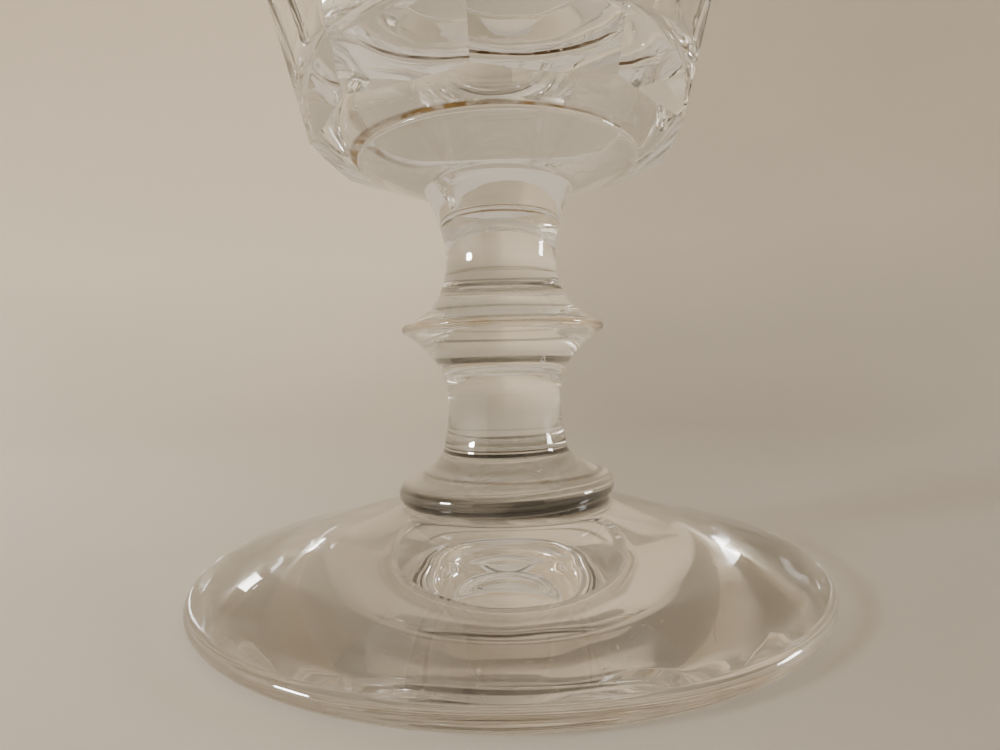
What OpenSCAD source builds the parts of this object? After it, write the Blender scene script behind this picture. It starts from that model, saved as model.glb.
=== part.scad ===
// Short-stemmed wine glass in clear lead glass. A bucket bowl with flat-cut panels stands on a
// button collar, a stem with a bladed knop, a flattened base knop and a low conical foot.
// The glassmaker sticks seven gathers together hot, so each piece ends in a flat weld face
// that lies on its neighbour's. The glass stands on the XY plane, with its axis along +Z.

/* [Foot] */
// Radius of the foot
foot_r = 31; // [29:0.5:34]
// Thickness of the foot's rolled rim
foot_rim_t = 1.7; // [1.4:0.1:2.2]
// Radius of the ground and polished pontil hollow under the foot
pontil_r = 9; // [7:0.5:11]

/* [Stem] */
// Radius of the upper shank at its waist
upper_shank_r = 5.9; // [5.2:0.1:6.4]
// Radius of the lower shank at its waist
lower_shank_r = 6.0; // [5.4:0.1:6.4]
// Radius of the knop's bladed edge
blade_r = 10.7; // [9.5:0.1:12]
// Height of the knop's bladed edge
blade_z = 25.3; // [24.7:0.1:26]
// Radius of the flattened base knop
base_knop_r = 11.4; // [10.8:0.1:12.2]

/* [Collar] */
// Radius of the button collar under the bowl
collar_r = 14.7; // [14.6:0.1:15.5]
// Height of the weld face between collar and bowl
collar_top_z = 43.1; // [42.8:0.1:43.4]

/* [Bowl] */
// Overall height of the glass
glass_h = 100; // [96:1:106]
// Outer radius at the rim
rim_r = 29.3; // [28:0.1:31]
// Wall thickness at the rim
rim_t = 1.6; // [1.2:0.1:2.2]
// Number of flat panels cut round the bowl
panel_count = 10; // [8:1:12]
// Distance from the axis to a panel's foot
panel_foot_r = 18.3; // [17.8:0.05:18.6]
// Outward lean of the panels from upright, in degrees
panel_lean = 14; // [13:0.5:15]
// Height of the bowl's floor inside, at its edge
floor_z = 51.4; // [50.4:0.1:51.6]

/* [Hidden] */

$fn = 96;
glass_tint = [0.88, 0.87, 0.84, 0.45];
steps = 10;

// Weld faces, from the bottom up: [radius, height] of the flat disc's edge.
foot_weld = [11, 7];
base_weld = [6.5, 13.4];
knop_low_weld = [6.4, 20.3];
knop_high_weld = [6.1, 30.7];
stem_weld = [7.9, 39.9];
bowl_weld = [14.3, collar_top_z];

// Points on a circular arc about c, from angle a to angle b.
function arc(c, r, a, b, n = steps) =
    [for (i = [0:n]) let (t = a + (b - a) * i / n) c + r * [cos(t), sin(t)]];

// Radius at height z on the parabola through three stations, each [radius, height].
function through(p, q, s, z) =
    p[0] * (z - q[1]) * (z - s[1]) / ((p[1] - q[1]) * (p[1] - s[1])) +
    q[0] * (z - p[1]) * (z - s[1]) / ((q[1] - p[1]) * (q[1] - s[1])) +
    s[0] * (z - p[1]) * (z - q[1]) / ((s[1] - p[1]) * (s[1] - q[1]));

// Concave flank from a to b, both [radius, height]. It leaves a at the given lean, which is the
// radius gained for each millimetre of height.
function flank(a, b, power, lean = 0, n = steps) =
    let (steady = lean * abs(b[1] - a[1]), rest = b[0] - a[0] - steady)
    [for (i = [0:n]) let (t = i / n) [a[0] + steady * t + rest * pow(t, power), a[1] + (b[1] - a[1]) * t]];

function reversed(points) = [for (i = [len(points) - 1:-1:0]) points[i]];

// Shank from a down to its waist and out again to b, all [radius, height].
function waisted(a, waist, b) = concat(reversed(flank(waist, a, 2)), flank(waist, b, 2));

module turned(outline) {
    color(glass_tint) rotate_extrude() polygon(outline);
}

// Foot: thick low cone with a rolled rim. Its underside rises a little inside the resting ring.
rim_roll = foot_rim_t / 2;
rest_in_r = foot_r - 3;
hollow_z = 0.3;
pontil_depth = 0.1;
cone_top = [17.2, 5.4];
rim_top = [foot_r - 1.4, foot_rim_t + 0.05];

module foot() {
    turned(concat(
        [for (i = [0:steps]) let (t = i / steps) [pontil_r * t, hollow_z + pontil_depth * (1 - t * t)]],
        [[rest_in_r, 0]],
        arc([foot_r - rim_roll, rim_roll], rim_roll, -90, 80),
        [rim_top],
        reversed(flank(foot_weld, cone_top, 1.5)),
        [[0, foot_weld[1]]]));
}

// Base knop: a disc flattened while soft, with a quick flare up to the shank.
base_rim_z = 8.6;
base_rim_half = 1.2;

module base_knop() {
    turned(concat(
        [[0, foot_weld[1]], foot_weld],
        arc([base_knop_r - base_rim_half, base_rim_z], base_rim_half, -75, 70),
        reversed(flank(base_weld, [base_knop_r - 1.4, base_rim_z + 1.35], 2.2)),
        [[0, base_weld[1]]]));
}

module lower_stem() {
    turned(concat(
        [[0, base_weld[1]]],
        waisted(base_weld, [lower_shank_r, 17.4], knop_low_weld),
        [[0, knop_low_weld[1]]]));
}

// Bladed knop: two concave flanks that meet in a thin rounded edge.
blade_half = 0.45;

module blade_knop() {
    flank_r = blade_r - blade_half;
    turned(concat(
        [[0, knop_low_weld[1]]],
        flank(knop_low_weld, [flank_r, blade_z - blade_half], 1.8, 0.26),
        arc([flank_r, blade_z], blade_half, -60, 60),
        reversed(flank(knop_high_weld, [flank_r, blade_z + blade_half], 2.8, 0.26)),
        [[0, knop_high_weld[1]]]));
}

module upper_stem() {
    turned(concat(
        [[0, knop_high_weld[1]]],
        waisted(knop_high_weld, [upper_shank_r, 32.6], stem_weld),
        [[0, stem_weld[1]]]));
}

// Button collar: a shallow cone with a thin rounded rim, flat where the stem and the bowl join it.
collar_half = 0.38;
collar_brim = [collar_r - 1.4, collar_top_z - 1.1];

module bowl_collar() {
    turned(concat(
        [[0, stem_weld[1]], stem_weld, collar_brim],
        arc([collar_r - collar_half, collar_top_z - collar_half], collar_half, -55, 75),
        [bowl_weld, [0, collar_top_z]]));
}

// Bowl: a turned body with a rounded lip, a thick base and a flat floor. Its stations are
// [radius, height], outside and inside.
body_foot = [20.4, 45.2];
body_mid = [26.4, 76.6];
wall_foot = [17.9, 54.2];
wall_mid = [24, 76.6];
corner_r = 1.3;
underside_rise = 0.21;
floor_round_r = 3;
floor_dish = 0.5;
wall_steps = 24;
lip_r = rim_t / 2;
lip_z = glass_h - lip_r;
underside_z = collar_top_z + underside_rise * (body_foot[0] - corner_r - bowl_weld[0]);

function body_r(z) = through(body_foot, body_mid, [rim_r, glass_h], z);
function wall_r(z) = through(wall_foot, wall_mid, [rim_r - rim_t, glass_h], z);

module bowl_body() {
    turned(concat(
        [[0, collar_top_z], bowl_weld],
        arc([body_foot[0] - corner_r - 0.1, underside_z + corner_r], corner_r, -78, 14),
        [for (i = [1:wall_steps]) let (z = body_foot[1] + (lip_z - body_foot[1]) * i / wall_steps)
            [body_r(z), z]],
        arc([rim_r - lip_r - 0.05, lip_z], lip_r, 10, 170),
        [for (i = [1:wall_steps]) let (z = lip_z + (wall_foot[1] - lip_z) * i / wall_steps)
            [wall_r(z), z]],
        arc([wall_foot[0] - floor_round_r, floor_z + floor_round_r], floor_round_r, -12, -86),
        [for (i = [1:steps]) let (t = 1 - i / steps)
            [(wall_foot[0] - floor_round_r) * t, floor_z - floor_dish * (1 - t * t)]]));
}

// The glass that one stroke of the cutter's wheel takes off the body.
panel_foot_z = 44.1;
panel_turn = -5.5;
waste = 60;

module panel_waste() {
    translate([panel_foot_r, 0, panel_foot_z])
        rotate([0, panel_lean, 0])
            translate([0, -waste / 2, -waste / 2])
                cube([waste, waste, 2 * waste]);
}

module bowl() {
    color(glass_tint) difference() {
        bowl_body();
        for (i = [0:panel_count - 1])
            rotate([0, 0, panel_turn - 90 + (i + 0.5) * 360 / panel_count]) panel_waste();
    }
}

bowl();
bowl_collar();
upper_stem();
blade_knop();
lower_stem();
base_knop();
foot();
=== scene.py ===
"""A small wine glass in clear lead glass, with flat-cut panels and a bladed knop."""

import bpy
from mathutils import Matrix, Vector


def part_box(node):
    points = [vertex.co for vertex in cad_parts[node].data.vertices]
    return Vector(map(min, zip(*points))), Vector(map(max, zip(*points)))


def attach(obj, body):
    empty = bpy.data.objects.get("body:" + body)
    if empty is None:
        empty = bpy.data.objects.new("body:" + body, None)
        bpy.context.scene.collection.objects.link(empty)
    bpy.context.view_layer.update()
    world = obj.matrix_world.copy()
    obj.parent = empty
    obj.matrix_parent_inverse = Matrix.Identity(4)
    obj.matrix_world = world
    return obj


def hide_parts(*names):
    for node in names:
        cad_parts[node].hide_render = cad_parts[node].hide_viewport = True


bl_info = {
    "name": "Cut wine glass",
    "version": (1, 0, 0),
    "blender": (4, 5, 0),
    "location": "View3D > Sidebar > Wine Glass",
    "description": "Turns, cuts and finishes a short-stemmed wine glass round its packed frame",
    "category": "Add Mesh",
}

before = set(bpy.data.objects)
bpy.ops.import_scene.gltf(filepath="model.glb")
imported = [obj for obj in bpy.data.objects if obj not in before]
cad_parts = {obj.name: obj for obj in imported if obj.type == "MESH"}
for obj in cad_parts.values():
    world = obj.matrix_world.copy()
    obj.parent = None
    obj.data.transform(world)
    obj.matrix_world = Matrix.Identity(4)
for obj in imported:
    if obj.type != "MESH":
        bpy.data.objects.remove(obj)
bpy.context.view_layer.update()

import math

import bpy
from mathutils import Vector

MM = 0.001


# ------------------------------------------------------------------ sizes and colours

class FootSizes(bpy.types.PropertyGroup):
    """Sizes of the low conical foot."""

    radius: bpy.props.FloatProperty(
        name="Radius", description="Radius of the foot", default=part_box("foot")[1].x,
        unit="LENGTH", precision=5)
    rim: bpy.props.FloatProperty(
        name="Rim thickness", description="Thickness of the rolled rim", default=1.7 * MM,
        unit="LENGTH", precision=5)
    pontil: bpy.props.FloatProperty(
        name="Pontil radius", description="Radius of the polished hollow underneath",
        default=9 * MM, unit="LENGTH", precision=5)
    pontil_depth: bpy.props.FloatProperty(
        name="Pontil depth", description="Depth of the polished hollow", default=0.1 * MM,
        unit="LENGTH", precision=5)
    hollow: bpy.props.FloatProperty(
        name="Hollow", description="How far the underside rises from the resting ring to the pontil",
        default=0.3 * MM, unit="LENGTH", precision=5)


class StemSizes(bpy.types.PropertyGroup):
    """Sizes of the knops and shanks."""

    base_knop: bpy.props.FloatProperty(
        name="Base knop", description="Radius of the flattened base knop",
        default=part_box("base_knop")[1].x, unit="LENGTH", precision=5)
    lower_waist: bpy.props.FloatProperty(
        name="Lower waist", description="Radius of the lower shank's waist", default=6.0 * MM,
        unit="LENGTH", precision=5)
    blade: bpy.props.FloatProperty(
        name="Blade", description="Radius of the knop's bladed edge",
        default=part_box("blade_knop")[1].x, unit="LENGTH", precision=5)
    upper_waist: bpy.props.FloatProperty(
        name="Upper waist", description="Radius of the upper shank's waist", default=5.9 * MM,
        unit="LENGTH", precision=5)


class BowlSizes(bpy.types.PropertyGroup):
    """Sizes of the collar and the panelled bowl."""

    collar: bpy.props.FloatProperty(
        name="Collar", description="Radius of the button collar",
        default=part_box("bowl_collar")[1].x, unit="LENGTH", precision=5)
    foot_z: bpy.props.FloatProperty(
        name="Underside", description="Height of the weld with the collar",
        default=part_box("bowl")[0].z, unit="LENGTH", precision=5)
    rim_z: bpy.props.FloatProperty(
        name="Rim height", description="Height of the rim", default=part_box("bowl")[1].z,
        unit="LENGTH", precision=5)
    rim: bpy.props.FloatProperty(
        name="Rim radius", description="Outer radius at the rim", default=29.3 * MM,
        unit="LENGTH", precision=5)
    wall: bpy.props.FloatProperty(
        name="Rim thickness", description="Thickness of the wall at the rim", default=1.6 * MM,
        unit="LENGTH", precision=5)
    floor_z: bpy.props.FloatProperty(
        name="Floor height", description="Height of the floor inside", default=51.4 * MM,
        unit="LENGTH", precision=5)
    panels: bpy.props.IntProperty(
        name="Panels", description="Flat panels cut round the bowl", default=10, min=6, max=14)
    panel_foot: bpy.props.FloatProperty(
        name="Panel foot", description="Distance from the axis to a panel's foot",
        default=18.3 * MM, unit="LENGTH", precision=5)
    panel_lean: bpy.props.FloatProperty(
        name="Panel lean", description="Outward lean of the panels", default=math.radians(14),
        subtype="ANGLE")
    panel_turn: bpy.props.FloatProperty(
        name="Panel turn", description="How far the first ridge stands from the front",
        default=math.radians(-5.5), subtype="ANGLE")


class Colours(bpy.types.PropertyGroup):
    """Colours of the glass and of the stage."""

    glass: bpy.props.FloatVectorProperty(
        name="Glass", description="Tint of the clear glass", default=(0.97, 0.97, 0.955),
        subtype="COLOR", min=0, max=1)
    foot: bpy.props.FloatVectorProperty(
        name="Foot glass", description="Tint of the thicker glass of the foot",
        default=(0.88, 0.862, 0.838), subtype="COLOR", min=0, max=1)
    cloth: bpy.props.FloatVectorProperty(
        name="Floor", description="Colour of the pale floor", default=(0.84, 0.762, 0.63),
        subtype="COLOR", min=0, max=1)


# ------------------------------------------------------------------ outlines

TURN_STEPS = 240  # steps round the axis
FLANK_STEPS = 28  # steps along a concave flank
RING_GAP = 0.9 * MM  # the most that two rings of a piece stand apart

FOOT_WELD = (11.0 * MM, 7.0 * MM)
BASE_WELD = (6.5 * MM, 13.4 * MM)
KNOP_LOW_WELD = (6.4 * MM, 20.3 * MM)
KNOP_HIGH_WELD = (6.1 * MM, 30.7 * MM)
STEM_WELD = (7.9 * MM, 39.9 * MM)
BOWL_WELD_R = 14.3 * MM
BLADE_Z = 25.3 * MM
BASE_RIM_Z = 8.6 * MM
PANEL_FOOT_Z = 44.1 * MM
KNOP_TILT = math.radians(1.8)  # how far the base knop's disc tips to the left
LEAN = math.radians(0.47)  # how far the stem and the bowl lean to the left on the foot
SHARP = math.radians(32)  # edges with a greater turn than this stay crisp


def arc(centre, radius, start, end, steps=16):
    """Points on a circular arc, with its angles in degrees."""
    turns = [math.radians(start + (end - start) * i / steps) for i in range(steps + 1)]
    return [(centre[0] + radius * math.cos(t), centre[1] + radius * math.sin(t)) for t in turns]


def flank(a, b, power, lean=0.0):
    """Concave flank from a to b that leaves a at the given lean."""
    steady = lean * abs(b[1] - a[1])
    rest = b[0] - a[0] - steady
    return [
        (a[0] + steady * t + rest * t ** power, a[1] + (b[1] - a[1]) * t)
        for t in (i / FLANK_STEPS for i in range(FLANK_STEPS + 1))
    ]


def waisted(a, waist, b):
    """Shank from a down to its waist and out again to b."""
    return flank(waist, a, 2)[::-1] + flank(waist, b, 2)[1:]


def through(p, q, s, z):
    """Radius at height z on the parabola through three stations."""
    return (
        p[0] * (z - q[1]) * (z - s[1]) / ((p[1] - q[1]) * (p[1] - s[1]))
        + q[0] * (z - p[1]) * (z - s[1]) / ((q[1] - p[1]) * (q[1] - s[1]))
        + s[0] * (z - p[1]) * (z - q[1]) / ((s[1] - p[1]) * (s[1] - q[1]))
    )


# ------------------------------------------------------------------ modelling by hand

def deselect():
    """Leaves edit mode and lets go of everything."""
    if bpy.context.object and bpy.context.object.mode != "OBJECT":
        bpy.ops.object.mode_set(mode="OBJECT")
    bpy.ops.object.select_all(action="DESELECT")


def spread(points):
    """The same outline with its long straight stretches split."""
    out = [points[0]]
    for p, q in zip(points, points[1:]):
        length = math.hypot(q[0] - p[0], q[1] - p[1])
        if length < 1e-7:
            continue
        pieces = max(1, math.ceil(length / RING_GAP))
        out += [(p[0] + (q[0] - p[0]) * i / pieces, p[1] + (q[1] - p[1]) * i / pieces)
                for i in range(1, pieces + 1)]
    return out


def turned(name, outline):
    """Draws a half section point by point and spins it round the axis."""
    deselect()
    outline = spread(outline)
    bpy.ops.mesh.primitive_plane_add(size=MM, location=(outline[0][0], 0, outline[0][1]))
    piece = bpy.context.object
    piece.name = piece.data.name = name
    bpy.ops.object.mode_set(mode="EDIT")
    bpy.ops.mesh.select_all(action="SELECT")
    bpy.ops.mesh.merge(type="CENTER")
    for p, q in zip(outline, outline[1:]):
        bpy.ops.mesh.extrude_region_move(
            TRANSFORM_OT_translate={"value": (q[0] - p[0], 0, q[1] - p[1])})
    bpy.ops.mesh.select_all(action="SELECT")
    bpy.ops.mesh.spin(steps=TURN_STEPS, angle=2 * math.pi, center=(0, 0, 0), axis=(0, 0, 1))
    bpy.ops.mesh.select_all(action="SELECT")
    bpy.ops.mesh.remove_doubles(threshold=2e-6)
    bpy.ops.mesh.normals_make_consistent(inside=False)
    bpy.ops.object.mode_set(mode="OBJECT")
    bpy.ops.object.transform_apply(location=True, rotation=True, scale=True)
    return piece


def finish_piece(piece, node, glass, seams):
    """Gives the piece its glass, its fused weld faces, its lean and its place in the frame."""
    piece.data.materials.append(glass)
    piece.data.materials.append(seam_glass())
    for face in piece.data.polygons:
        for radius, height in seams:
            flat = all(abs(piece.data.vertices[v].co.z - height) < 5e-6 for v in face.vertices)
            if flat and face.center.xy.length < radius:
                face.material_index = 1
    deselect()
    piece.select_set(True)
    bpy.context.view_layer.objects.active = piece
    if node != "foot":
        bpy.ops.transform.rotate(value=LEAN, orient_axis="Y",
                                 center_override=(0, 0, FOOT_WELD[1]))
        bpy.ops.object.transform_apply(location=True, rotation=True, scale=True)
    bpy.ops.object.shade_smooth_by_angle(angle=SHARP, keep_sharp_edges=True)
    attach(piece, "root")
    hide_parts(node)


# ------------------------------------------------------------------ materials

GRIME = (0.10, 0.05, 0.01)  # brown residue in the crease under the bowl
AMBER = (0.80, 0.66, 0.44)  # old varnish tint on the bladed edge
SPECK = (0.42, 0.31, 0.16)
WORN = (0.60, 0.57, 0.52)  # the ring that the glass has rubbed on
ROLLED_RIM_SHADE = (0.55, 0.50, 0.43)  # painted shade darkening the rim, where the glass is thick edge on
FOOT_CONE_SHADE = (0.42, 0.40, 0.37)  # painted shade greying the cone of the foot
DEEP_SHADE = (0.03, 0.03, 0.03)  # dark surroundings, held in the base knop
SOFT_SHADE = (0.22, 0.21, 0.19)
HIGH_SHADE, LOW_SHADE = (0.07, 0.07, 0.06), (0.10, 0.10, 0.09)  # on the knop's two flanks
WELD_LINE = (0.50, 0.47, 0.42)
LAMP_TINT = (0.72, 0.70, 0.66, 1)  # lamp light that gets through the glass to the floor

def new_material(name):
    """An empty node material with its shader and output."""
    mat = bpy.data.materials.new(name)
    mat.use_nodes = True
    nodes = mat.node_tree.nodes
    nodes.clear()
    out = nodes.new("ShaderNodeOutputMaterial")
    shader = nodes.new("ShaderNodeBsdfPrincipled")
    mat.node_tree.links.new(shader.outputs[0], out.inputs[0])
    return mat, shader


def seam_glass():
    """Weld face inside the glass, where one gather runs into the next without a surface."""
    mat = bpy.data.materials.get("fused_seam")
    if mat is None:
        mat, shader = new_material("fused_seam")
        shader.inputs["Base Color"].default_value = (1, 1, 1, 1)
        shader.inputs["Alpha"].default_value = 0.0
    return mat


def new_group(name, inputs, output):
    """An empty node group with its named sockets, its input node and its output node."""
    tree = bpy.data.node_groups.new(name, "ShaderNodeTree")
    for label, kind, value in inputs:
        tree.interface.new_socket(label, in_out="INPUT", socket_type=kind).default_value = value
    tree.interface.new_socket(output[0], in_out="OUTPUT", socket_type=output[1])
    return tree, tree.nodes.new("NodeGroupInput"), tree.nodes.new("NodeGroupOutput")


def math_node(tree, operation, first, second=None, third=None, clamp=False):
    """A Math node whose inputs are sockets or plain numbers. Gives back its output."""
    node = tree.nodes.new("ShaderNodeMath")
    node.operation = operation
    node.use_clamp = clamp
    for socket, value in zip(node.inputs, (first, second, third)):
        if isinstance(value, bpy.types.NodeSocket):
            tree.links.new(value, socket)
        elif value is not None:
            socket.default_value = value
    return node.outputs[0]


def noise_at(tree, vector, scale, detail=2.0):
    """A Noise Texture read at vector. Gives back its plain output."""
    noise = tree.nodes.new("ShaderNodeTexNoise")
    noise.inputs["Detail"].default_value = detail
    tree.links.new(vector, noise.inputs["Vector"])
    if isinstance(scale, bpy.types.NodeSocket):
        tree.links.new(scale, noise.inputs["Scale"])
    else:
        noise.inputs["Scale"].default_value = scale
    return noise.outputs[0]


def stretched(tree, amount):
    """Object coordinates multiplied by amount, axis by axis."""
    place = tree.nodes.new("ShaderNodeTexCoord")
    scaled = tree.nodes.new("ShaderNodeVectorMath")
    scaled.operation = "MULTIPLY"
    scaled.inputs[1].default_value = amount
    tree.links.new(place.outputs["Object"], scaled.inputs[0])
    return scaled.outputs[0]


def blended(tree, mask, under, over):
    """The colour under with over laid on it where the mask is 1."""
    mix = tree.nodes.new("ShaderNodeMix")
    mix.data_type = "RGBA"
    tree.links.new(mask, mix.inputs[0])
    tree.links.new(under, mix.inputs[6])
    tree.links.new(over, mix.inputs[7])
    return mix.outputs[2]


def ring_stain_and_shade_group():
    """Residue or shade in a ring at one height, broken up by noise."""
    tree, inlet, outlet = new_group("ring_stain_and_shade", [
        ("Under", "NodeSocketColor", (1, 1, 1, 1)),
        ("Stain_and_shade", "NodeSocketColor", (0.4, 0.3, 0.1, 1)),
        ("Height", "NodeSocketFloat", 0.0),
        ("Spread", "NodeSocketFloat", 0.001),
        ("Breakup", "NodeSocketFloat", 0.5),
        ("Grain", "NodeSocketFloat", 400.0),
    ], ("Color", "NodeSocketColor"))
    place = tree.nodes.new("ShaderNodeTexCoord")
    parts = tree.nodes.new("ShaderNodeSeparateXYZ")
    tree.links.new(place.outputs["Object"], parts.inputs[0])
    above = math_node(tree, "SUBTRACT", parts.outputs["Z"], inlet.outputs["Height"])
    away = math_node(tree, "ABSOLUTE", above)
    spreads = math_node(tree, "DIVIDE", away, inlet.outputs["Spread"])
    near = math_node(tree, "SUBTRACT", 1.3, spreads)
    band = math_node(tree, "MULTIPLY", near, 2.0, clamp=True)
    grain = noise_at(tree, stretched(tree, (1, 1, 1)), inlet.outputs["Grain"], 3.0)
    patches = math_node(tree, "MULTIPLY_ADD", grain, 7.0, -2.9, clamp=True)
    bare = math_node(tree, "SUBTRACT", 1.0, patches)
    gaps = math_node(tree, "MULTIPLY", bare, inlet.outputs["Breakup"])
    mask = math_node(tree, "MULTIPLY", band, math_node(tree, "SUBTRACT", 1.0, gaps))
    ringed = blended(tree, mask, inlet.outputs["Under"], inlet.outputs["Stain_and_shade"])
    tree.links.new(ringed, outlet.inputs[0])
    return tree


def old_marks_group():
    """Small specks and thin wipe marks that old glass gathers."""
    tree, inlet, outlet = new_group("old_marks", [
        ("Under", "NodeSocketColor", (1, 1, 1, 1)),
        ("Speck", "NodeSocketColor", (0.35, 0.24, 0.1, 1)),
        ("Amount", "NodeSocketFloat", 0.5),
    ], ("Color", "NodeSocketColor"))
    grain = noise_at(tree, stretched(tree, (1, 1, 1)), 520.0, 4.0)
    area = noise_at(tree, stretched(tree, (1, 1, 1)), 60.0, 1.0)
    both = math_node(tree, "MULTIPLY_ADD", area, 0.35, grain)
    specks = math_node(tree, "MULTIPLY_ADD", both, 12.0, -11.2, clamp=True)
    wipes = noise_at(tree, stretched(tree, (0.15, 1, 1.6)), 420.0, 3.0)
    streaks = math_node(tree, "MULTIPLY_ADD", wipes, 1.4, -0.82, clamp=True)
    marks = math_node(tree, "MAXIMUM", specks, streaks)
    mask = math_node(tree, "MULTIPLY", marks, inlet.outputs["Amount"])
    marked = blended(tree, mask, inlet.outputs["Under"], inlet.outputs["Speck"])
    tree.links.new(marked, outlet.inputs[0])
    return tree


def ripple_group():
    """Height of the slow waves that tools and fire leave on hand-made glass."""
    tree, inlet, outlet = new_group("glass_ripple", [
        ("Scale", "NodeSocketFloat", 160.0),
        ("Seeds", "NodeSocketFloat", 0.2),
    ], ("Height", "NodeSocketFloat"))
    waves = noise_at(tree, stretched(tree, (1, 1, 2.5)), inlet.outputs["Scale"], 1.0)
    fine = noise_at(tree, stretched(tree, (1, 1, 1)), 1500.0, 2.0)
    seeds = math_node(tree, "MULTIPLY_ADD", fine, 8.0, -5.6, clamp=True)
    height = math_node(tree, "MULTIPLY_ADD", seeds, inlet.outputs["Seeds"], waves)
    tree.links.new(height, outlet.inputs[0])
    return tree


def place_group(tree, make, name, values):
    """Puts the shared group in a material with its own values. Gives back its node."""
    node = tree.nodes.new("ShaderNodeGroup")
    node.node_tree = bpy.data.node_groups.get(name) or make()
    for label, value in values.items():
        if isinstance(value, bpy.types.NodeSocket):
            tree.links.new(value, node.inputs[label])
        else:
            node.inputs[label].default_value = value
    return node


def clear_glass(name, stain_and_shade_rings, marks=0.35, ripple=0.25, waves=160.0, tint=None):
    """Clear lead glass with its own rings of stain and of painted shade, each (colour, height,
    spread, breakup, grain).
    """
    mat, shader = new_material(name)
    tree = mat.node_tree
    body = tree.nodes.new("ShaderNodeRGB")
    body.outputs[0].default_value = (*(tint or bpy.context.scene.glass_colours.glass), 1)
    marked = place_group(tree, old_marks_group, "old_marks", {
        "Under": body.outputs[0], "Speck": (*SPECK, 1), "Amount": marks})
    colour = marked.outputs[0]
    for ring_colour, height, spread, breakup, grain in stain_and_shade_rings:
        ring = place_group(tree, ring_stain_and_shade_group, "ring_stain_and_shade", {
            "Under": colour, "Stain_and_shade": (*ring_colour, 1), "Height": height * MM, "Spread": spread * MM,
            "Breakup": breakup, "Grain": grain})
        colour = ring.outputs[0]
    tree.links.new(colour, shader.inputs["Base Color"])
    wave = place_group(tree, ripple_group, "glass_ripple", {"Scale": waves})
    bump = tree.nodes.new("ShaderNodeBump")
    bump.inputs["Strength"].default_value = ripple
    bump.inputs["Distance"].default_value = 0.1 * MM
    tree.links.new(wave.outputs[0], bump.inputs["Height"])
    tree.links.new(bump.outputs[0], shader.inputs["Normal"])
    shader.inputs["Roughness"].default_value = 0.0
    shader.inputs["IOR"].default_value = 1.54
    shader.inputs["Transmission Weight"].default_value = 1.0
    let_lamps_through(mat, shader)
    return mat


def let_lamps_through(mat, shader):
    """Lets the lamps shine through the glass, so that it casts a pale shadow."""
    nodes, links = mat.node_tree.nodes, mat.node_tree.links
    path = nodes.new("ShaderNodeLightPath")
    clear = nodes.new("ShaderNodeBsdfTransparent")
    clear.inputs["Color"].default_value = LAMP_TINT
    mix = nodes.new("ShaderNodeMixShader")
    links.new(path.outputs["Is Shadow Ray"], mix.inputs[0])
    links.new(shader.outputs[0], mix.inputs[1])
    links.new(clear.outputs[0], mix.inputs[2])
    links.new(mix.outputs[0], nodes["Material Output"].inputs[0])


def paper_with_painted_light(colour):
    """Pale paper for the cove, with painted light and shade: lighter up its curve and further out,
    lighter at the left, and darker at the right as a painted shadow of the glass, with a faint
    mottle.
    """
    mat, shader = new_material("paper_with_painted_light")
    tree = mat.node_tree
    place = tree.nodes.new("ShaderNodeTexCoord")
    parts = tree.nodes.new("ShaderNodeSeparateXYZ")
    tree.links.new(place.outputs["Object"], parts.inputs[0])
    # Painted light: lighter up the curve and further from the middle.
    raised = math_node(tree, "MULTIPLY", parts.outputs["Z"], 8.0, clamp=True)
    flat = tree.nodes.new("ShaderNodeVectorMath")
    flat.operation = "LENGTH"
    tree.links.new(stretched(tree, (1, 1, 0)), flat.inputs[0])
    away = math_node(tree, "MULTIPLY_ADD", flat.outputs["Value"], 0.40, 0.56)
    shade = math_node(tree, "MULTIPLY_ADD", raised, 0.20, away)
    # Painted light and shadow: lighter at the left, darker to the right of the glass.
    reach = math_node(tree, "ADD", math_node(tree, "ABSOLUTE", parts.outputs["X"]), 0.032)
    side = math_node(tree, "DIVIDE", parts.outputs["X"], reach)
    right = math_node(tree, "MULTIPLY_ADD", side, -0.27, 0.90)
    shade = math_node(tree, "MULTIPLY", shade, right)
    weave = noise_at(tree, stretched(tree, (1, 1, 1)), 9.0, 3.0)
    mottle = math_node(tree, "MULTIPLY_ADD", weave, 0.12, 0.94)
    shade = math_node(tree, "MULTIPLY", shade, mottle)
    plain, dark = tree.nodes.new("ShaderNodeRGB"), tree.nodes.new("ShaderNodeRGB")
    plain.outputs[0].default_value = (*colour, 1)
    dark.outputs[0].default_value = (0, 0, 0, 1)
    tree.links.new(blended(tree, shade, dark.outputs[0], plain.outputs[0]),
                   shader.inputs["Base Color"])
    shader.inputs["Roughness"].default_value = 0.9
    return mat


# ------------------------------------------------------------------ pieces

class MakeFoot(bpy.types.Operator):
    """Turns the low conical foot with its rolled rim and pontil hollow"""

    bl_idname = "wine_glass.make_foot"
    bl_label = "Foot"

    def execute(self, context):
        s = context.scene.foot_sizes
        roll = s.rim / 2
        under = [(s.pontil * t, s.hollow + s.pontil_depth * (1 - t * t)) for t in
                 (i / 24 for i in range(25))]
        outline = under + [(s.radius - 3 * MM, 0)]
        outline += arc((s.radius - roll, roll), roll, -90, 80)
        outline += [(s.radius - 1.4 * MM, s.rim + 0.05 * MM)]
        outline += flank(FOOT_WELD, (17.2 * MM, 5.4 * MM), 1.5)[::-1]
        outline += [(0, FOOT_WELD[1])]
        piece = turned("foot_glass", outline)
        # Painted shade darkens the foot's rolled rim and greys its cone; the resting ring holds
        # wear.
        glass = clear_glass("foot_clear", [
            (WORN, 0.1, 0.25, 0.7, 260.0), (ROLLED_RIM_SHADE, 0.9, 0.42, 0.4, 150.0),
            (FOOT_CONE_SHADE, 2.7, 0.8, 0.3, 110.0)],
            marks=0.6, ripple=0.4, waves=110.0, tint=context.scene.glass_colours.foot)
        finish_piece(piece, "foot", glass, [FOOT_WELD])
        return {"FINISHED"}


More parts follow.
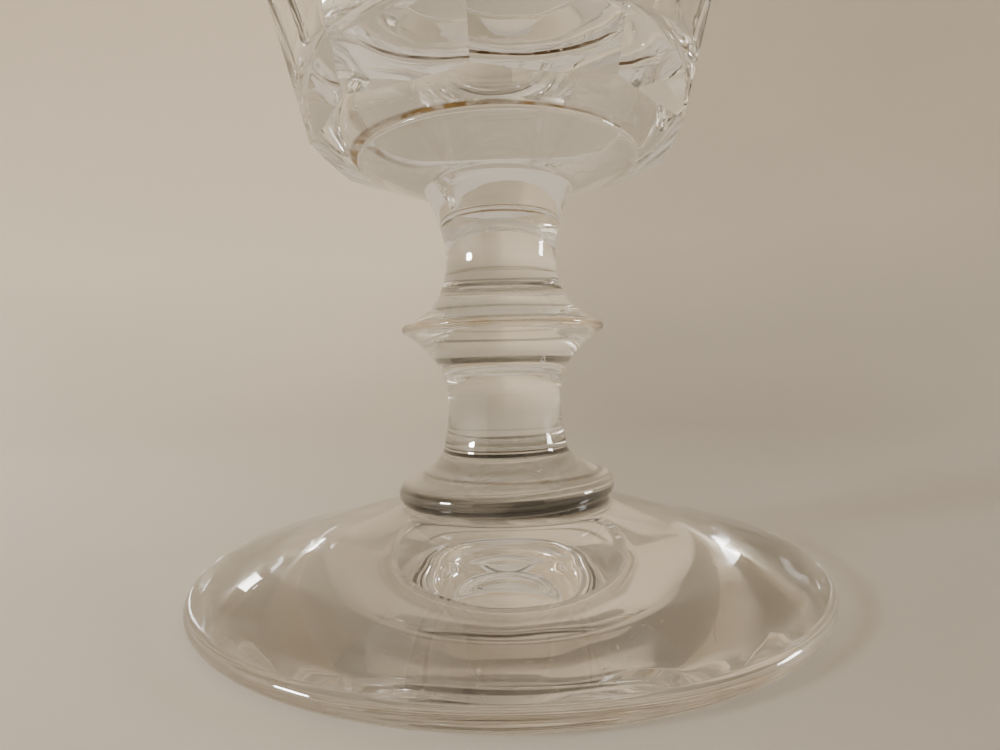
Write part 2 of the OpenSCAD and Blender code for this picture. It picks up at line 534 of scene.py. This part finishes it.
class MakeBaseKnop(bpy.types.Operator):
    """Turns the flattened base knop and its flare up to the shank"""

    bl_idname = "wine_glass.make_base_knop"
    bl_label = "Base knop"

    def execute(self, context):
        s = context.scene.stem_sizes
        half = 1.2 * MM
        outline = [(0, FOOT_WELD[1]), FOOT_WELD]
        outline += arc((s.base_knop - half, BASE_RIM_Z), half, -75, 70)
        outline += flank(BASE_WELD, (s.base_knop - 1.4 * MM, BASE_RIM_Z + 1.35 * MM), 2.2)[::-1]
        outline += [(0, BASE_WELD[1])]
        piece = turned("base_knop_glass", outline)
        glass = clear_glass("base_knop_clear", [
            (DEEP_SHADE, 8.25, 1.0, 0.12, 110.0), (SOFT_SHADE, 10.35, 0.1, 0.2, 60.0),
            (DEEP_SHADE, 12.5, 0.18, 0.3, 90.0)])
        self.tilt_rings(piece)
        finish_piece(piece, "base_knop", glass, [FOOT_WELD, BASE_WELD])
        return {"FINISHED"}

    @staticmethod
    def tilt_rings(piece):
        """Tips the disc to one side, ring by ring, less and less towards the shank."""
        mesh = piece.data
        low, high = FOOT_WELD[1] / MM + 0.01, BASE_WELD[1] / MM - 0.01
        fading = 3.2  # the height in millimetres over which the tilt dies out
        rings = {}
        for v in mesh.vertices:
            rings.setdefault(round(v.co.z / MM, 3), []).append(v.index)
        for height, ring in rings.items():
            if not low < height < high:
                continue
            ease = min(1.0, (BASE_WELD[1] / MM - height) / fading)
            deselect()
            for parts in (mesh.polygons, mesh.edges, mesh.vertices):
                parts.foreach_set("select", [False] * len(parts))
            for i in ring:
                mesh.vertices[i].select = True
            piece.select_set(True)
            bpy.context.view_layer.objects.active = piece
            bpy.ops.object.mode_set(mode="EDIT")
            bpy.ops.mesh.select_mode(type="VERT")
            bpy.ops.transform.rotate(value=KNOP_TILT * ease, orient_axis="Y",
                                     center_override=(0, 0, BASE_RIM_Z))
            bpy.ops.object.mode_set(mode="OBJECT")


class MakeLowerStem(bpy.types.Operator):
    """Turns the short shank between the base knop and the bladed knop"""

    bl_idname = "wine_glass.make_lower_stem"
    bl_label = "Lower stem"

    def execute(self, context):
        waist = (context.scene.stem_sizes.lower_waist, 17.4 * MM)
        outline = [(0, BASE_WELD[1])] + waisted(BASE_WELD, waist, KNOP_LOW_WELD)
        outline += [(0, KNOP_LOW_WELD[1])]
        piece = turned("lower_stem_glass", outline)
        glass = clear_glass("lower_stem_clear", [(WELD_LINE, 13.6, 0.14, 0.4, 120.0)])
        finish_piece(piece, "lower_stem", glass, [BASE_WELD, KNOP_LOW_WELD])
        return {"FINISHED"}


class MakeBladeKnop(bpy.types.Operator):
    """Turns the knop with its thin bladed edge"""

    bl_idname = "wine_glass.make_blade_knop"
    bl_label = "Bladed knop"

    def execute(self, context):
        half = 0.45 * MM
        edge = context.scene.stem_sizes.blade - half
        outline = [(0, KNOP_LOW_WELD[1])]
        outline += flank(KNOP_LOW_WELD, (edge, BLADE_Z - half), 1.8, 0.26)
        outline += arc((edge, BLADE_Z), half, -60, 60)
        outline += flank(KNOP_HIGH_WELD, (edge, BLADE_Z + half), 2.8, 0.26)[::-1]
        outline += [(0, KNOP_HIGH_WELD[1])]
        piece = turned("blade_knop_glass", outline)
        glass = clear_glass("blade_knop_clear", [
            (AMBER, 25.3, 0.42, 0.5, 300.0), (HIGH_SHADE, 29.3, 0.2, 0.25, 90.0),
            (LOW_SHADE, 21.9, 0.28, 0.35, 90.0)])
        finish_piece(piece, "blade_knop", glass, [KNOP_LOW_WELD, KNOP_HIGH_WELD])
        return {"FINISHED"}


class MakeUpperStem(bpy.types.Operator):
    """Turns the short shank between the bladed knop and the collar"""

    bl_idname = "wine_glass.make_upper_stem"
    bl_label = "Upper stem"

    def execute(self, context):
        waist = (context.scene.stem_sizes.upper_waist, 32.6 * MM)
        outline = [(0, KNOP_HIGH_WELD[1])] + waisted(KNOP_HIGH_WELD, waist, STEM_WELD)
        outline += [(0, STEM_WELD[1])]
        piece = turned("upper_stem_glass", outline)
        glass = clear_glass("upper_stem_clear", [(WELD_LINE, 30.9, 0.14, 0.4, 120.0)])
        finish_piece(piece, "upper_stem", glass, [KNOP_HIGH_WELD, STEM_WELD])
        return {"FINISHED"}


class MakeCollar(bpy.types.Operator):
    """Turns the button collar under the bowl"""

    bl_idname = "wine_glass.make_collar"
    bl_label = "Collar"

    def execute(self, context):
        s = context.scene.bowl_sizes
        half = 0.38 * MM
        outline = [(0, STEM_WELD[1]), STEM_WELD, (s.collar - 1.4 * MM, s.foot_z - 1.1 * MM)]
        outline += arc((s.collar - half, s.foot_z - half), half, -55, 75)
        outline += [(BOWL_WELD_R, s.foot_z), (0, s.foot_z)]
        piece = turned("bowl_collar_glass", outline)
        glass = clear_glass("collar_clear", [(GRIME, 43.05, 0.16, 0.25, 500.0)])
        finish_piece(piece, "bowl_collar", glass, [STEM_WELD, (BOWL_WELD_R, s.foot_z)])
        return {"FINISHED"}


class MakeBowl(bpy.types.Operator):
    """Turns the bowl, then cuts its flat panels"""

    bl_idname = "wine_glass.make_bowl"
    bl_label = "Bowl"

    def execute(self, context):
        s = context.scene.bowl_sizes
        body_foot, body_mid = (20.4 * MM, 45.2 * MM), (26.4 * MM, 76.6 * MM)
        wall_foot, wall_mid = (17.9 * MM, 54.2 * MM), (24 * MM, 76.6 * MM)
        corner, floor_round, dish, rise = 1.3 * MM, 3.0 * MM, 0.5 * MM, 0.21
        lip = s.wall / 2
        lip_z = s.rim_z - lip
        under_z = s.foot_z + rise * (body_foot[0] - corner - BOWL_WELD_R)
        rows = 48
        outline = [(0, s.foot_z), (BOWL_WELD_R, s.foot_z)]
        outline += arc((body_foot[0] - corner - 0.1 * MM, under_z + corner), corner, -78, 14)
        for i in range(1, rows + 1):
            z = body_foot[1] + (lip_z - body_foot[1]) * i / rows
            if z > outline[-1][1]:
                outline += [(through(body_foot, body_mid, (s.rim, s.rim_z), z), z)]
        outline += arc((s.rim - lip - 0.05 * MM, lip_z), lip, 10, 170)
        for i in range(1, rows + 1):
            z = lip_z + (wall_foot[1] - lip_z) * i / rows
            outline += [(through(wall_foot, wall_mid, (s.rim - s.wall, s.rim_z), z), z)]
        flat_r = wall_foot[0] - floor_round
        outline += arc((flat_r, s.floor_z + floor_round), floor_round, -12, -86)
        outline += [(flat_r * t, s.floor_z - dish * (1 - t * t)) for t in
                    (1 - i / 12 for i in range(1, 13))]
        piece = turned("bowl_glass", outline)
        self.cut_panels(piece, s)
        glass = clear_glass("bowl_clear", [(GRIME, 43.1, 0.10, 0.35, 500.0)])
        finish_piece(piece, "bowl", glass, [(BOWL_WELD_R, s.foot_z)])
        return {"FINISHED"}

    @staticmethod
    def cut_panels(piece, s):
        """Takes one flat off the body for each panel, as the cutter's wheel does."""
        deselect()
        piece.select_set(True)
        bpy.context.view_layer.objects.active = piece
        bpy.ops.object.mode_set(mode="EDIT")
        for i in range(s.panels):
            way = s.panel_turn - math.pi / 2 + (i + 0.5) * 2 * math.pi / s.panels
            out = Vector((math.cos(way), math.sin(way), 0))
            normal = out * math.cos(s.panel_lean) - Vector((0, 0, math.sin(s.panel_lean)))
            bpy.ops.mesh.select_all(action="SELECT")
            bpy.ops.mesh.bisect(plane_co=out * s.panel_foot + Vector((0, 0, PANEL_FOOT_Z)),
                                plane_no=normal, use_fill=True, clear_outer=True)
        bpy.ops.object.mode_set(mode="OBJECT")


# ------------------------------------------------------------------ stage

class MakeStage(bpy.types.Operator):
    """Adds the pale cove, the black cards, the soft lights and the camera"""

    bl_idname = "wine_glass.make_stage"
    bl_label = "Stage"

    def execute(self, context):
        self.cove(context.scene.glass_colours.cloth)
        self.card("black_card", (0, -80 * MM, 45 * MM), (90, 0, 0), (0.11, 1, 0.09))
        self.card("dark_ceiling", (0, -40 * MM, 300 * MM), (0, 0, 0), (0.30, 0.14, 1))
        self.lights()
        self.world()
        self.camera()
        return {"FINISHED"}

    @staticmethod
    def cove(colour):
        """A round floor that curves up into a wall."""
        deselect()
        radius, wall, bend = 0.55, 0.6, 0.4
        rises = arc((radius - bend, bend), bend, -90, 0, 32)[1:] + [(radius, wall)]
        bpy.ops.mesh.primitive_circle_add(vertices=96, radius=radius - bend, fill_type="NGON")
        cove = bpy.context.object
        cove.name = cove.data.name = "pale_cove"
        bpy.ops.object.mode_set(mode="EDIT")
        bpy.ops.mesh.select_all(action="SELECT")
        bpy.ops.mesh.region_to_loop()
        r0, z0 = radius - bend, 0.0
        for r1, z1 in rises:
            bpy.ops.mesh.extrude_region_move(TRANSFORM_OT_translate={"value": (0, 0, z1 - z0)})
            bpy.ops.transform.resize(value=(r1 / r0, r1 / r0, 1), center_override=(0, 0, 0))
            r0, z0 = r1, z1
        bpy.ops.object.mode_set(mode="OBJECT")
        bpy.ops.object.shade_smooth()
        bpy.ops.transform.translate(value=(0, 0, -0.1 * MM))
        bpy.ops.object.transform_apply(location=True, rotation=True, scale=True)
        cove.data.materials.append(paper_with_painted_light(colour))

    @staticmethod
    def card(name, place, turn, size):
        """A black card that only mirrors in the glass."""
        deselect()
        bpy.ops.mesh.primitive_plane_add(size=1, location=place,
                                         rotation=[math.radians(t) for t in turn])
        card = bpy.context.object
        card.name = card.data.name = name
        bpy.ops.transform.resize(value=size)
        bpy.ops.object.transform_apply(location=True, rotation=True, scale=True)
        mat, shader = new_material(name)
        shader.inputs["Base Color"].default_value = (0.01, 0.01, 0.01, 1)
        card.data.materials.append(mat)
        card.visible_camera = card.visible_transmission = False
        card.visible_diffuse = card.visible_shadow = False

    @staticmethod
    def lights():
        """Two low soft boxes, a strong one at the left and a weak one at the right."""
        boxes = [
            ("key_light", (-0.40, -0.17, 0.12), 0.09, 5.8),
            ("side_light", (0.38, 0.0, 0.095), 0.07, 0.95),
        ]
        for name, place, size, power in boxes:
            deselect()
            bpy.ops.object.light_add(type="AREA", location=place)
            lamp = bpy.context.object
            lamp.name = lamp.data.name = name
            lamp.data.size = size
            lamp.data.energy = power
            way = Vector((0, 0, 0.03)) - Vector(place)
            lamp.rotation_euler = way.to_track_quat("-Z", "Y").to_euler()

    @staticmethod
    def world():
        """Plain dim surroundings."""
        world = bpy.data.worlds.new("studio")
        bpy.context.scene.world = world
        world.use_nodes = True
        back = world.node_tree.nodes["Background"]
        back.inputs["Color"].default_value = (1.0, 0.85, 0.68, 1)
        back.inputs["Strength"].default_value = 0.76

    @staticmethod
    def camera():
        """Close camera just above table height."""
        deselect()
        bpy.ops.object.camera_add(location=(-0.5 * MM, -64.5 * MM, 20.7 * MM),
                                  rotation=(math.radians(89.7), math.radians(1.13), 0))
        cam = bpy.context.object
        cam.name = cam.data.name = "camera"
        cam.data.lens = 21.6
        cam.data.sensor_width = 36
        cam.data.clip_start = 2 * MM
        bpy.context.scene.camera = cam
        paths = bpy.context.scene.cycles
        paths.max_bounces = paths.glossy_bounces = paths.transmission_bounces = 24
        paths.transparent_max_bounces = 32


# ------------------------------------------------------------------ panel and registration

GROUPS = {
    "foot_sizes": FootSizes,
    "stem_sizes": StemSizes,
    "bowl_sizes": BowlSizes,
    "glass_colours": Colours,
}
STEPS = (MakeFoot, MakeBaseKnop, MakeLowerStem, MakeBladeKnop, MakeUpperStem, MakeCollar, MakeBowl,
         MakeStage)


class WineGlassPanel(bpy.types.Panel):
    """Lists the sizes, the colours and the steps of the glass"""

    bl_idname = "VIEW3D_PT_wine_glass"
    bl_label = "Wine Glass"
    bl_space_type = "VIEW_3D"
    bl_region_type = "UI"
    bl_category = "Wine Glass"

    def draw(self, context):
        for name, group in GROUPS.items():
            box = self.layout.box()
            box.label(text=name.replace("_", " ").capitalize())
            for prop in group.__annotations__:
                box.prop(getattr(context.scene, name), prop)
        for step in STEPS:
            self.layout.operator(step.bl_idname)


CLASSES = (*GROUPS.values(), *STEPS, WineGlassPanel)


def register():
    for cls in CLASSES:
        bpy.utils.register_class(cls)
    for name, group in GROUPS.items():
        setattr(bpy.types.Scene, name, bpy.props.PointerProperty(type=group))


def unregister():
    for name in GROUPS:
        delattr(bpy.types.Scene, name)
    for cls in reversed(CLASSES):
        bpy.utils.unregister_class(cls)


def main():
    register()
    for step in STEPS:
        group, call = step.bl_idname.split(".")
        getattr(getattr(bpy.ops, group), call)()


if __name__ == "__main__":
    main()
